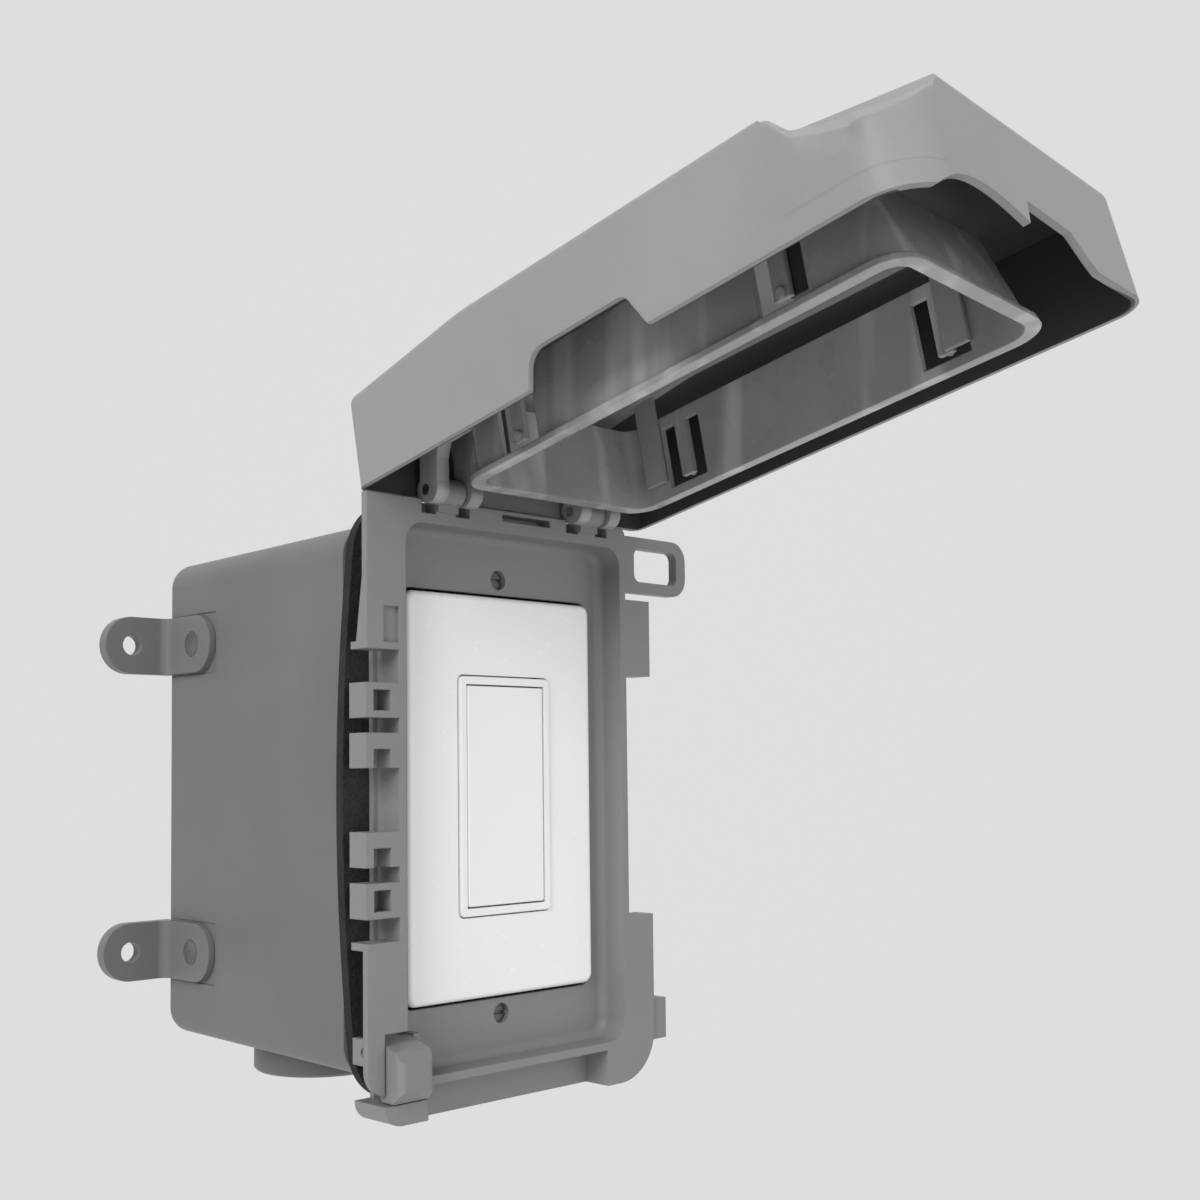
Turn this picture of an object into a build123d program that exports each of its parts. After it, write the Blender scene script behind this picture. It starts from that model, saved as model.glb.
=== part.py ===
"""Weatherproof wall switch: a deep surface box, a hooded in-use cover and a paddle switch.

+X is right, +Z is up and the front faces -Y. The wall plane is Y = 0, and the origin lies
in it, midway between the four feet. Depths are distances out from the wall, along -Y.
"""
import os
from math import cos, radians, sin

from build123d import *

os.makedirs("parts", exist_ok=True)

# Clearances
RUN_GAP = 0.4
PIN_GAP = 0.05
SEAT_GAP = 0.15
PLATE_GAP = 0.9

# Back box: a deep moulded box with draft, bosses inside and a conduit hub below
BOX_WIDTH = 100.0
BOX_HEIGHT = 146.6
BOX_DEPTH = 96.5
BOX_DRAFT = 0.8
BOX_WALL = 3.0
BOX_EDGE = 8.0
BOX_BACK_EDGE = 3.5
HUB_X = -12.0
HUB_DEPTH = 30.0
HUB_OUTER = 43.0
HUB_BORE = 33.6
HUB_BOTTOM = -84.5
BOSS_OUTER = 8.0
BOSS_LENGTH = 24.0
BOSS_WEB = 3.0
WEB_RELIEF = 6.0

# Feet: four bent lugs, each screwed to a flat on the box's side
FOOT_INSET = 26.5
FOOT_WIDTH = 17.5
FOOT_LEG = 4.0
FOOT_SIDE_LEG = 2.2
FOOT_SIDE_LENGTH = 29.0
FOOT_REACH = 14.2
FOOT_HOLE = 6.2
FOOT_SCREW_DEPTH = 18.0
FOOT_SCREW = 4.0
FOOT_SCREW_HEAD = 7.6
FOOT_SCREW_LENGTH = 9.0
FOOT_BEND = 3.0

# Gasket: closed foam between box and cover, with bowed sides
GASKET_THICK = 3.0
GASKET_HALF_HEIGHT = 80.5
GASKET_CORNER_X = 50.0
GASKET_CORNER_Z = 68.0
GASKET_BULGE_X = 53.6
GASKET_END_X = 44.0
GASKET_MARGIN = 2.4

# Cover base: a tray with a floor, a rim, wings, hinge knuckles and a padlock loop
FLOOR_THICK = 1.7
TRAY_DEPTH = 9.6
TRAY_HALF_WIDTH = 40.9
TRAY_TOP = 74.6
TRAY_BOTTOM = -74.2
TRAY_CORNER = 6.0
TRAY_FILLET = 2.5
RIM_WALL = 2.4
BORDER_TOP = 81.0
FLANGE_HALF_WIDTH = 45.0
FLANGE_TOP = 80.0
FLANGE_BOTTOM = -87.0
WING_HALF_WIDTH = 53.8
WING_THICK = 2.2
WING_RIB = 2.0
WING_RIB_DEPTH = 7.3
UPPER_WING_BOTTOM = 39.5
TAB_TOP = 59.1
TAB_BOTTOM = 35.7
LOWER_WING_TOP = -37.5
LEFT_WING_BOTTOM = -77.5
CORNER_BLOCK_X = 33.5
CORNER_RADIUS = 17.0
LOOP_OUTER_X = 70.9
LOOP_TOP = 78.9
LOOP_BOTTOM = 61.5
LOOP_BAR = 3.5
LOOP_END_BAR = 4.2
LOOP_INNER_X = 47.4
LOOP_CORNER = 6.0
LOOP_THICK = 3.2
LOCK_TAB = (60.3, -63.9, -76.2)
CATCH_X = (-50.0, -36.0)
CATCH_Z = (-85.0, -79.5)
CATCH_CORNER = 5.3
CATCH_PROUD = 2.2
HINGE_SLOT = (-6.5, 12.0, 78.0, 80.0)
WING_GUSSET = (60.0, 3.0)
SIDE_KNUCKLES = (25.95, 12.7, -13.3, -26.65)
SIDE_KNUCKLE_HEIGHT = 9.3
SIDE_KNUCKLE_DEPTH = 7.4
SIDE_CORE = 5.5
SIDE_CORE_DROP = 2.4
COVER_SCREW_MARGIN = 5.35
COVER_SCREW = 4.2
COVER_SCREW_HEAD = 5.4
COVER_SCREW_LENGTH = 16.0
CUP_OUTER = 7.8
CUP_FLOOR = 1.5
HEAD_THICK = 1.6

# Lid hinge, and the lid's directions when it stands open
OPEN_ANGLE = 101.3
HINGE_AHEAD = 1.1
HINGE_Z = 83.5
PIN_DIAMETER = 3.0
KNUCKLE_X = 27.0
KNUCKLE_WIDTH = 7.0
KNUCKLE_RADIUS = 3.6
ARM_WIDTH = 4.2
ARM_HOOK_RADIUS = 5.4
ARM_PLATE_TOP = 17.0

# Inner lid frame: a sleeve with a flange round its mouth and four snap fingers
SLEEVE_HALF_WIDTH = 33.0
SLEEVE_WALL = 1.6
SLEEVE_START = 16.0
SLEEVE_END = 151.9
SLEEVE_END_TOP = 144.5
SLEEVE_MOUTH = -4.2
SLEEVE_TOP = 20.0
SLEEVE_CORNER = 6.0
SLEEVE_FAR_CORNER = 10.0
MOUTH_FLANGE = 2.2
WINDOW_CENTRES = (37.0, 124.0)
WINDOW_WIDTH = 14.0
WINDOW_BOTTOM = -1.6
WINDOW_TOP = 16.5
FINGER_WIDTH = 4.4
NUB_LEVEL = 1.6
NUB_RADIUS = 1.3

# Hood: the outer lid, a deep drafted shell that slides out on the inner frame
HOOD_HALF_WIDTH = 54.0
HOOD_WALL = 1.8
HOOD_HEEL = -6.0
HOOD_RIM = -0.7
HOOD_TIP = 170.4
HOOD_LEAN = 0.08
TIP_SLANT = 0.072
HOOD_HEEL_HEIGHT = 25.0
HOOD_KNEE = 43.0
HOOD_KNEE_HEIGHT = 29.6
HOOD_TIP_HEIGHT = 28.0
HOOD_KNEE_RADIUS = 90.0
HOOD_LEFT_CORNER = 14.0
HOOD_RIGHT_CORNER = 9.5
HOOD_HEEL_CORNER = 4.0
HOOD_TOP_EDGE = 2.5
CORD_NOTCH = (63.8, 103.5, 8.4)
CORD_NOTCH_SLOPES = (2.2, 6.0)
CORD_NOTCH_RADII = (5.0, 4.0)
GRIP_START = 140.5
GRIP_LENGTH = 36.0
ARCH = (-47.0, 26.0)
ARCH_HEIGHTS = (3.2, 4.4, 3.4)
ARCH_TOOTH = (-6.5, 14.0, 7.4)
GUIDE_LEG = 7.0
GUIDE_THICK = 1.6
GUIDE_BOTTOM = 0.5
HOOD_TRAVEL = 15.0

# Corner latch: a small lever in the cover's lower left corner
LATCH_X = (-48.0, -36.6)
LATCH_TOP = -63.3
LATCH_BOTTOM = -79.0
LATCH_PIN_Z = -66.5
LATCH_PIN_BACK = 6.5
LATCH_PIN = 2.5
LATCH_PROUD = 6.0
LATCH_HUB = 2.6
LATCH_SWEEP = 5.2
LATCH_EAR = 2.2

# Switch: strap, body, face frame, paddle and its contact lever
STRAP_THICK = 1.3
STRAP_END = 4.0
STRAP_WIDTH = 33.0
STRAP_EAR_WIDTH = 21.0
STRAP_WINDOW = (28.0, 58.0)
DEVICE_SCREW_SPACING = 83.3
DEVICE_SCREW = 3.5
BODY_WIDTH = 33.0
BODY_HEIGHT = 66.0
BODY_DEPTH = 25.0
BODY_WALL = 2.2
FRAME_WIDTH = 34.2
FRAME_HEIGHT = 67.8
FRAME_PROUD = 0.8
PADDLE_WIDTH = 28.8
PADDLE_HEIGHT = 62.4
PADDLE_GAP = 0.4
PADDLE_SLAB = 2.6
PADDLE_AXIS_BACK = 4.2
PADDLE_TRAVEL = 3.5
TRUNNION = 2.4
CAM_NOSE = 1.6
CAM_GAP = 0.35
LEVER_AXIS_BACK = 16.0
LEVER_LENGTH = 26.0
LEVER_WIDTH = 6.0
LEVER_THICK = 1.2
LEVER_PIN = 2.0
LEVER_PIN_LENGTH = 17.6
PRONG_THICK = 1.2
PRONG_WIDTH = 5.0
LEVER_RATIO = 2.0
CONTACT_GAP = 0.5
TERMINAL_LEVEL = 18.0
TERMINAL_LENGTH = 12.0
TERMINAL_THICK = 1.2
TERMINAL_BORDER = 6.0
TERMINAL_HEAD = 6.8
SMALL_HEAD = 6.4
SMALL_HEAD_THICK = 1.2
DEVICE_SCREW_LENGTH = 16.0
PLATE_SCREW_LENGTH = 6.0

# Wall plate: a screwless cover snapped over its mounting plate
PLATE_WIDTH = 69.85
PLATE_HEIGHT = 114.3
PLATE_PROUD = 2.3
PLATE_WALL = 1.8
PLATE_CORNER = 3.0
PLATE_SCREW_MARGIN = 8.75
SUBPLATE_MARGIN = 3.0
POST_MARGIN = 6.0
POST_SIZE = (4.0, 6.0)
SUBPLATE_THICK = 1.5

# Places that follow from the sizes above
FOOT_LEVEL = BOX_HEIGHT / 2 - FOOT_INSET
COVER_SCREW_SPACING = PLATE_HEIGHT + 2 * COVER_SCREW_MARGIN
PLATE_SCREW_SPACING = PLATE_HEIGHT - 2 * PLATE_SCREW_MARGIN
STRAP_HALF_HEIGHT = PLATE_SCREW_SPACING / 2 + STRAP_END
SUBPLATE_WIDTH = PLATE_WIDTH - 2 * SUBPLATE_MARGIN
SUBPLATE_HEIGHT = PLATE_HEIGHT - 2 * SUBPLATE_MARGIN
GASKET_FRONT = BOX_DEPTH + GASKET_THICK
FLOOR_FRONT = GASKET_FRONT + FLOOR_THICK
RIM_FRONT = FLOOR_FRONT + TRAY_DEPTH
PLATE_FRONT = FLOOR_FRONT + PLATE_PROUD
STRAP_FRONT = BOX_DEPTH + STRAP_THICK
SUBPLATE_FRONT = STRAP_FRONT + SUBPLATE_THICK
FACE_FRONT = PLATE_FRONT + FRAME_PROUD
PADDLE_AXIS = FACE_FRONT - PADDLE_AXIS_BACK
LEVER_AXIS = BOX_DEPTH - LEVER_AXIS_BACK
MESH_DEPTH = LEVER_AXIS + (PADDLE_AXIS - LEVER_AXIS) / (1 + LEVER_RATIO)
HINGE_DEPTH = RIM_FRONT + HINGE_AHEAD
HINGE = Vector(0, -HINGE_DEPTH, HINGE_Z)
ALONG = Vector(0, -sin(radians(OPEN_ANGLE)), -cos(radians(OPEN_ANGLE)))
OUTWARD = Vector(0, -cos(radians(OPEN_ANGLE)), sin(radians(OPEN_ANGLE)))
ARM_INNER_X = KNUCKLE_X - KNUCKLE_WIDTH / 2 - RUN_GAP - ARM_WIDTH / 2
ARM_OUTER_X = KNUCKLE_X + KNUCKLE_WIDTH / 2 + RUN_GAP + ARM_WIDTH / 2
OPENING_WIDTH = FRAME_WIDTH + 2 * RUN_GAP
OPENING_HEIGHT = FRAME_HEIGHT + 2 * RUN_GAP


def facing(depth):
    """The plane parallel to the wall at a depth: X right, Z up, normal to the front."""
    return Plane.XZ.offset(depth)


def lid_plan(level):
    """A plane parallel to the lid's mouth: x runs from the hinge to the tip, y is X."""
    return Plane(origin=HINGE + OUTWARD * level, x_dir=ALONG, z_dir=OUTWARD)


def lid_side(x=0.0):
    """A side view of the lid: x runs from the hinge to the tip, y goes outward."""
    return Plane(origin=HINGE + Vector(x, 0, 0), x_dir=ALONG, z_dir=(-1, 0, 0))


def lid_end(distance):
    """An end view of the lid at a distance from the hinge: x is X, y goes outward."""
    return Plane(origin=HINGE + ALONG * distance, x_dir=(1, 0, 0), z_dir=ALONG)


def save(builder, name):
    """Label a finished piece and write its file."""
    builder.part.label = name
    export_step(builder.part, f"parts/{name}.step")


def bar(x_low, x_high, z_low, z_high, depth_low, depth_high, mode=Mode.ADD):
    """A straight block between two X, two Z and two depths."""
    with BuildSketch(facing(depth_low)) as profile:
        with Locations(((x_low + x_high) / 2, (z_low + z_high) / 2)):
            Rectangle(x_high - x_low, z_high - z_low)
    extrude(profile.sketch, amount=depth_high - depth_low, mode=mode)


# Back box
with BuildPart() as back_box:
    with BuildSketch(facing(0)):
        RectangleRounded(BOX_WIDTH, BOX_HEIGHT, BOX_EDGE)
    extrude(amount=BOX_DEPTH, taper=-BOX_DRAFT)
    fillet(back_box.faces().sort_by(Axis.Y)[-1].edges(), BOX_BACK_EDGE)
    with BuildSketch(Plane.XY.offset(HUB_BOTTOM)):
        with Locations((HUB_X, -HUB_DEPTH)):
            Circle(HUB_OUTER / 2)
    extrude(amount=-HUB_BOTTOM - BOX_HEIGHT / 2 + BOX_WALL + 2)
    with BuildSketch(facing(BOX_WALL)):
        RectangleRounded(BOX_WIDTH - 2 * BOX_WALL, BOX_HEIGHT - 2 * BOX_WALL, BOX_EDGE - BOX_WALL)
    extrude(amount=BOX_DEPTH, taper=-BOX_DRAFT, mode=Mode.SUBTRACT)
    with BuildSketch(Plane.XY.offset(HUB_BOTTOM)):
        with Locations((HUB_X, -HUB_DEPTH)):
            Circle(HUB_BORE / 2)
    extrude(amount=-HUB_BOTTOM - BOX_HEIGHT / 2 + BOX_WALL + 4, mode=Mode.SUBTRACT)
    hub_mouth = back_box.edges().filter_by(GeomType.CIRCLE).group_by(Axis.Z)[0]
    chamfer(hub_mouth, 0.8)
    # Flats that the feet seat on
    for side in (-1, 1):
        for level in (-FOOT_LEVEL, FOOT_LEVEL):
            seat = Plane(origin=(side * BOX_WIDTH / 2, 0, level), x_dir=(0, -1, 0), z_dir=(side, 0, 0))
            with BuildSketch(seat):
                with Locations((FOOT_SIDE_LENGTH / 2, 0)):
                    Rectangle(FOOT_SIDE_LENGTH + 1, FOOT_WIDTH + 1)
            extrude(amount=BOX_WALL, mode=Mode.SUBTRACT)
            with BuildSketch(seat.offset(-BOX_WALL / 2)):
                with Locations((FOOT_SCREW_DEPTH, 0)):
                    Circle(BOSS_OUTER / 2 + 1)
            extrude(amount=-FOOT_SCREW_LENGTH)
    # Screw bosses for the switch and the cover, each pair on a web from the end wall
    for end in (-1, 1):
        cover_level = end * COVER_SCREW_SPACING / 2
        device_level = end * DEVICE_SCREW_SPACING / 2
        wall_level = end * (BOX_HEIGHT / 2 - BOX_WALL / 2)
        with BuildSketch(facing(BOX_DEPTH)):
            with Locations((0, cover_level), (0, device_level)):
                Circle(BOSS_OUTER / 2)
        extrude(amount=-BOSS_LENGTH)
        with BuildSketch(facing(BOX_DEPTH - WEB_RELIEF)):
            with Locations((0, (wall_level + device_level) / 2)):
                Rectangle(BOSS_WEB, abs(wall_level - device_level))
        extrude(amount=WEB_RELIEF - BOSS_LENGTH)
        with BuildSketch(facing(BOX_DEPTH)):
            with Locations((0, cover_level)):
                Circle(COVER_SCREW / 2)
            with Locations((0, device_level)):
                Circle(DEVICE_SCREW / 2)
        extrude(amount=-BOSS_LENGTH + 3, mode=Mode.SUBTRACT)
    # Pilot holes for the feet's screws
    for side in (-1, 1):
        for level in (-FOOT_LEVEL, FOOT_LEVEL):
            seat = Plane(origin=(side * BOX_WIDTH / 2, 0, level), x_dir=(0, -1, 0), z_dir=(side, 0, 0))
            with BuildSketch(seat):
                with Locations((FOOT_SCREW_DEPTH, 0)):
                    Circle(FOOT_SCREW / 2)
            extrude(amount=-FOOT_SCREW_LENGTH + 0.2, mode=Mode.SUBTRACT)
save(back_box, "back_box")

# Feet
FOOT_NAMES = {(-1, 1): "foot_top_left", (1, 1): "foot_top_right", (-1, -1): "foot_bottom_left", (1, -1): "foot_bottom_right"}
for (side, end), foot_name in FOOT_NAMES.items():
    wall_plane = Plane(origin=(side * BOX_WIDTH / 2, 0, end * FOOT_LEVEL), x_dir=(side, 0, 0), z_dir=(0, -1, 0))
    seat = Plane(origin=(side * BOX_WIDTH / 2, 0, end * FOOT_LEVEL), x_dir=(0, -1, 0), z_dir=(side, 0, 0))
    with BuildPart() as foot:
        with BuildSketch(wall_plane):
            with Locations((FOOT_REACH / 2, 0)):
                Rectangle(FOOT_REACH, FOOT_WIDTH)
            with Locations((FOOT_REACH, 0)):
                Circle(FOOT_WIDTH / 2)
        extrude(amount=FOOT_LEG)
        with BuildSketch(seat):
            with Locations(((FOOT_SIDE_LENGTH - FOOT_WIDTH / 2) / 2, 0)):
                Rectangle(FOOT_SIDE_LENGTH - FOOT_WIDTH / 2, FOOT_WIDTH)
            with Locations((FOOT_SIDE_LENGTH - FOOT_WIDTH / 2, 0)):
                Circle(FOOT_WIDTH / 2)
        extrude(amount=FOOT_SIDE_LEG)
        inner_bend = foot.edges().filter_by(Axis.Z).filter_by_position(Axis.Y, -FOOT_LEG - 0.01, -FOOT_LEG + 0.01)
        fillet(inner_bend, FOOT_BEND)
        with BuildSketch(wall_plane):
            with Locations((FOOT_REACH, 0)):
                Circle(FOOT_HOLE / 2)
        extrude(amount=FOOT_LEG, mode=Mode.SUBTRACT)
        with Locations(seat.offset(FOOT_SIDE_LEG) * Location((FOOT_SCREW_DEPTH, 0, 0))):
            CounterSinkHole(
                FOOT_SCREW / 2 + SEAT_GAP, FOOT_SCREW_HEAD / 2 + SEAT_GAP, depth=FOOT_SIDE_LEG, counter_sink_angle=90
            )
    save(foot, foot_name)

with BuildPart() as foot_screws:
    for side, end in FOOT_NAMES:
        seat = Plane(origin=(side * BOX_WIDTH / 2, 0, end * FOOT_LEVEL), x_dir=(0, -1, 0), z_dir=(side, 0, 0))
        head_height = (FOOT_SCREW_HEAD - FOOT_SCREW) / 2
        with BuildSketch(seat.offset(FOOT_SIDE_LEG)):
            with Locations((FOOT_SCREW_DEPTH, 0)):
                Circle(FOOT_SCREW_HEAD / 2)
        with BuildSketch(seat.offset(FOOT_SIDE_LEG - head_height)):
            with Locations((FOOT_SCREW_DEPTH, 0)):
                Circle(FOOT_SCREW / 2)
        loft()
        with BuildSketch(seat.offset(FOOT_SIDE_LEG - head_height)):
            with Locations((FOOT_SCREW_DEPTH, 0)):
                Circle(FOOT_SCREW / 2)
        extrude(amount=-FOOT_SCREW_LENGTH)
save(foot_screws, "foot_screws")

# Gasket
with BuildPart() as cover_gasket:
    with BuildSketch(facing(BOX_DEPTH)):
        with BuildLine():
            right_side = ThreePointArc(
                (GASKET_CORNER_X, -GASKET_CORNER_Z), (GASKET_BULGE_X, 0), (GASKET_CORNER_X, GASKET_CORNER_Z)
            )
            top = Line((GASKET_END_X - 4, GASKET_HALF_HEIGHT), (-GASKET_END_X + 4, GASKET_HALF_HEIGHT))
            left_side = ThreePointArc(
                (-GASKET_CORNER_X, GASKET_CORNER_Z), (-GASKET_BULGE_X, 0), (-GASKET_CORNER_X, -GASKET_CORNER_Z)
            )
            bottom = Line((-GASKET_END_X + 4, -GASKET_HALF_HEIGHT), (GASKET_END_X - 4, -GASKET_HALF_HEIGHT))
            TangentArc(right_side @ 1, top @ 0, tangent=right_side % 1)
            TangentArc(left_side @ 0, top @ 1, tangent=-1 * (left_side % 0))
            TangentArc(left_side @ 1, bottom @ 0, tangent=left_side % 1)
            TangentArc(right_side @ 0, bottom @ 1, tangent=-1 * (right_side % 0))
        make_face()
        RectangleRounded(
            PLATE_WIDTH + 2 * GASKET_MARGIN, PLATE_HEIGHT + 2 * GASKET_MARGIN, PLATE_CORNER + 1, mode=Mode.SUBTRACT
        )
        with Locations((0, -COVER_SCREW_SPACING / 2), (0, COVER_SCREW_SPACING / 2)):
            Circle(CUP_OUTER / 2 + RUN_GAP, mode=Mode.SUBTRACT)
    extrude(amount=GASKET_THICK)
save(cover_gasket, "cover_gasket")

# Cover base
with BuildPart() as tray_hollow:
    with BuildSketch(facing(FLOOR_FRONT)):
        with Locations((0, (TRAY_TOP + TRAY_BOTTOM) / 2)):
            RectangleRounded(2 * TRAY_HALF_WIDTH, TRAY_TOP - TRAY_BOTTOM, TRAY_CORNER)
    extrude(amount=TRAY_DEPTH + 1)
    fillet(tray_hollow.faces().sort_by(Axis.Y)[-1].edges(), TRAY_FILLET)

with BuildPart() as cover_base:
    with BuildSketch(facing(GASKET_FRONT)):
        with Locations((0, (FLANGE_TOP + FLANGE_BOTTOM) / 2)):
            RectangleRounded(2 * FLANGE_HALF_WIDTH, FLANGE_TOP - FLANGE_BOTTOM, TRAY_CORNER)
    extrude(amount=FLOOR_THICK)
    with BuildSketch(facing(GASKET_FRONT)):
        rim_bottom = TRAY_BOTTOM - RIM_WALL
        with Locations((0, (BORDER_TOP + rim_bottom) / 2)):
            RectangleRounded(2 * (TRAY_HALF_WIDTH + RIM_WALL), BORDER_TOP - rim_bottom, RIM_WALL)
    extrude(amount=FLOOR_THICK + TRAY_DEPTH)
    # Wings in the rim's plane, with a rib along each end
    wing_back = RIM_FRONT - WING_THICK
    rib_back = RIM_FRONT - WING_RIB_DEPTH
    rim_side = TRAY_HALF_WIDTH + RIM_WALL / 2
    bar(-WING_HALF_WIDTH, -rim_side, UPPER_WING_BOTTOM, BORDER_TOP, wing_back, RIM_FRONT)
    bar(-WING_HALF_WIDTH, -rim_side, UPPER_WING_BOTTOM, UPPER_WING_BOTTOM + WING_RIB, rib_back, RIM_FRONT)
    bar(rim_side, WING_HALF_WIDTH, TAB_BOTTOM, TAB_TOP, wing_back, RIM_FRONT)
    bar(rim_side, WING_HALF_WIDTH, TAB_BOTTOM, TAB_BOTTOM + WING_RIB, rib_back, RIM_FRONT)
    bar(-WING_HALF_WIDTH, -rim_side, LEFT_WING_BOTTOM, LOWER_WING_TOP, wing_back, RIM_FRONT)
    bar(-WING_HALF_WIDTH, -rim_side, LOWER_WING_TOP - WING_RIB, LOWER_WING_TOP, rib_back, RIM_FRONT)
    bar(rim_side, WING_HALF_WIDTH, FLANGE_BOTTOM, LOWER_WING_TOP, wing_back, RIM_FRONT)
    bar(rim_side, WING_HALF_WIDTH, LOWER_WING_TOP - WING_RIB, LOWER_WING_TOP, rib_back, RIM_FRONT)
    bar(CORNER_BLOCK_X, rim_side + 1, FLANGE_BOTTOM, TRAY_BOTTOM, GASKET_FRONT, RIM_FRONT)
    wing_corners = cover_base.edges().filter_by(Axis.Y).filter_by_position(Axis.X, -WING_HALF_WIDTH - 1, -WING_HALF_WIDTH + 1)
    fillet(wing_corners.sort_by(Axis.Z)[0], 7.0)
    low_corner = cover_base.edges().filter_by(Axis.Y).filter_by_position(Axis.X, WING_HALF_WIDTH - 1, WING_HALF_WIDTH + 1)
    fillet(low_corner.sort_by(Axis.Z)[0], CORNER_RADIUS - RIM_WALL)
    # Hinge knuckles on the left side, a second hinge place that this lid doesn't use
    knuckle_inner = -rim_side
    knuckle_outer = -WING_HALF_WIDTH - 0.4
    for level in SIDE_KNUCKLES:
        half = SIDE_KNUCKLE_HEIGHT / 2
        bar(knuckle_outer, knuckle_inner, level - half, level + half, RIM_FRONT - SIDE_KNUCKLE_DEPTH, RIM_FRONT)
    # Padlock loop beside the top right corner
    with BuildSketch(facing(RIM_FRONT - LOOP_THICK)):
        loop_middle = (LOOP_TOP + LOOP_BOTTOM) / 2
        loop_height = LOOP_TOP - LOOP_BOTTOM
        with Locations(((rim_side + LOOP_OUTER_X) / 2, loop_middle)):
            loop_outline = Rectangle(LOOP_OUTER_X - rim_side, loop_height)
        fillet(loop_outline.vertices().group_by(Axis.X)[-1], LOOP_CORNER)
        with Locations(((LOOP_INNER_X + LOOP_OUTER_X - LOOP_END_BAR) / 2, loop_middle)):
            RectangleRounded(
                LOOP_OUTER_X - LOOP_END_BAR - LOOP_INNER_X, loop_height - 2 * LOOP_BAR, LOOP_CORNER - LOOP_BAR,
                mode=Mode.SUBTRACT,
            )
    extrude(amount=LOOP_THICK)
    # Lock tab low on the right side
    bar(WING_HALF_WIDTH - 3, LOCK_TAB[0], LOCK_TAB[2], LOCK_TAB[1], RIM_FRONT - 7, RIM_FRONT - 1.2)
    # Catch block below the corner latch, on the flange
    with BuildSketch(facing(GASKET_FRONT)):
        with Locations(((CATCH_X[0] + CATCH_X[1]) / 2, (CATCH_Z[0] + CATCH_Z[1]) / 2)):
            catch_outline = Rectangle(CATCH_X[1] - CATCH_X[0], CATCH_Z[1] - CATCH_Z[0])
        fillet(catch_outline.vertices().group_by(Axis.X)[0].sort_by(Axis.Y)[0], CATCH_CORNER)
    extrude(amount=RIM_FRONT + CATCH_PROUD - GASKET_FRONT)
    # Gusset along the upper left wing's outer edge
    with BuildSketch(Plane.YZ.offset(-WING_HALF_WIDTH)):
        with BuildLine():
            Polyline(
                (-wing_back - 0.2, WING_GUSSET[0]), (-wing_back - 0.2, UPPER_WING_BOTTOM),
                (-wing_back + WING_GUSSET[1], UPPER_WING_BOTTOM), close=True,
            )
        make_face()
    extrude(amount=WING_RIB)
    # Top hinge knuckles
    for side in (-1, 1):
        with BuildSketch(Plane.YZ.offset(side * KNUCKLE_X - KNUCKLE_WIDTH / 2)):
            with Locations((-HINGE_DEPTH, HINGE_Z)):
                Circle(KNUCKLE_RADIUS)
            with Locations((-HINGE_DEPTH + KNUCKLE_RADIUS / 2, HINGE_Z - KNUCKLE_RADIUS / 2 - 1)):
                Rectangle(KNUCKLE_RADIUS, KNUCKLE_RADIUS + 2)
        extrude(amount=KNUCKLE_WIDTH)
    # The tray's hollow, and the opening that the wall plate stands in
    add(tray_hollow.part, mode=Mode.SUBTRACT)
    with BuildSketch(facing(GASKET_FRONT)):
        RectangleRounded(PLATE_WIDTH + 2 * PLATE_GAP, PLATE_HEIGHT + 2 * PLATE_GAP, PLATE_CORNER + PLATE_GAP)
    extrude(amount=FLOOR_THICK, mode=Mode.SUBTRACT)
    # Square cores in the side knuckles
    for level, drop in zip(SIDE_KNUCKLES, (0, SIDE_CORE_DROP, SIDE_CORE_DROP, 0)):
        core_x = (knuckle_outer + knuckle_inner) / 2 - 0.8
        core_low = level - drop - SIDE_CORE / 2
        bar(core_x - SIDE_CORE / 2, core_x + SIDE_CORE / 2, core_low, core_low + SIDE_CORE,
            RIM_FRONT - SIDE_KNUCKLE_DEPTH + 1.4, RIM_FRONT, Mode.SUBTRACT)
    # Pockets that the lid's arms swing in, and the slot between the hinges
    pocket_floor = HINGE_DEPTH - ARM_HOOK_RADIUS - RUN_GAP
    pocket_low = HINGE_Z - ARM_HOOK_RADIUS - RUN_GAP - 0.4
    for arm_x in (-ARM_OUTER_X, -ARM_INNER_X, ARM_INNER_X, ARM_OUTER_X):
        half = ARM_WIDTH / 2 + RUN_GAP
        bar(arm_x - half, arm_x + half, pocket_low, BORDER_TOP + 1, pocket_floor, RIM_FRONT, Mode.SUBTRACT)
    bar(*HINGE_SLOT, RIM_FRONT - 5, RIM_FRONT, Mode.SUBTRACT)
    # Shallow recess in the upper left wing
    bar(-rim_side - 6.2, -rim_side - 1.2, UPPER_WING_BOTTOM + WING_RIB, UPPER_WING_BOTTOM + 11.5,
        RIM_FRONT - 1.2, RIM_FRONT, Mode.SUBTRACT)
    # Pin bores of the two hinge knuckles
    with BuildSketch(Plane.YZ.offset(-KNUCKLE_X - KNUCKLE_WIDTH)):
        with Locations((-HINGE_DEPTH, HINGE_Z)):
            Circle(PIN_DIAMETER / 2 + PIN_GAP)
    extrude(amount=2 * KNUCKLE_X + 2 * KNUCKLE_WIDTH, mode=Mode.SUBTRACT)
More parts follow.
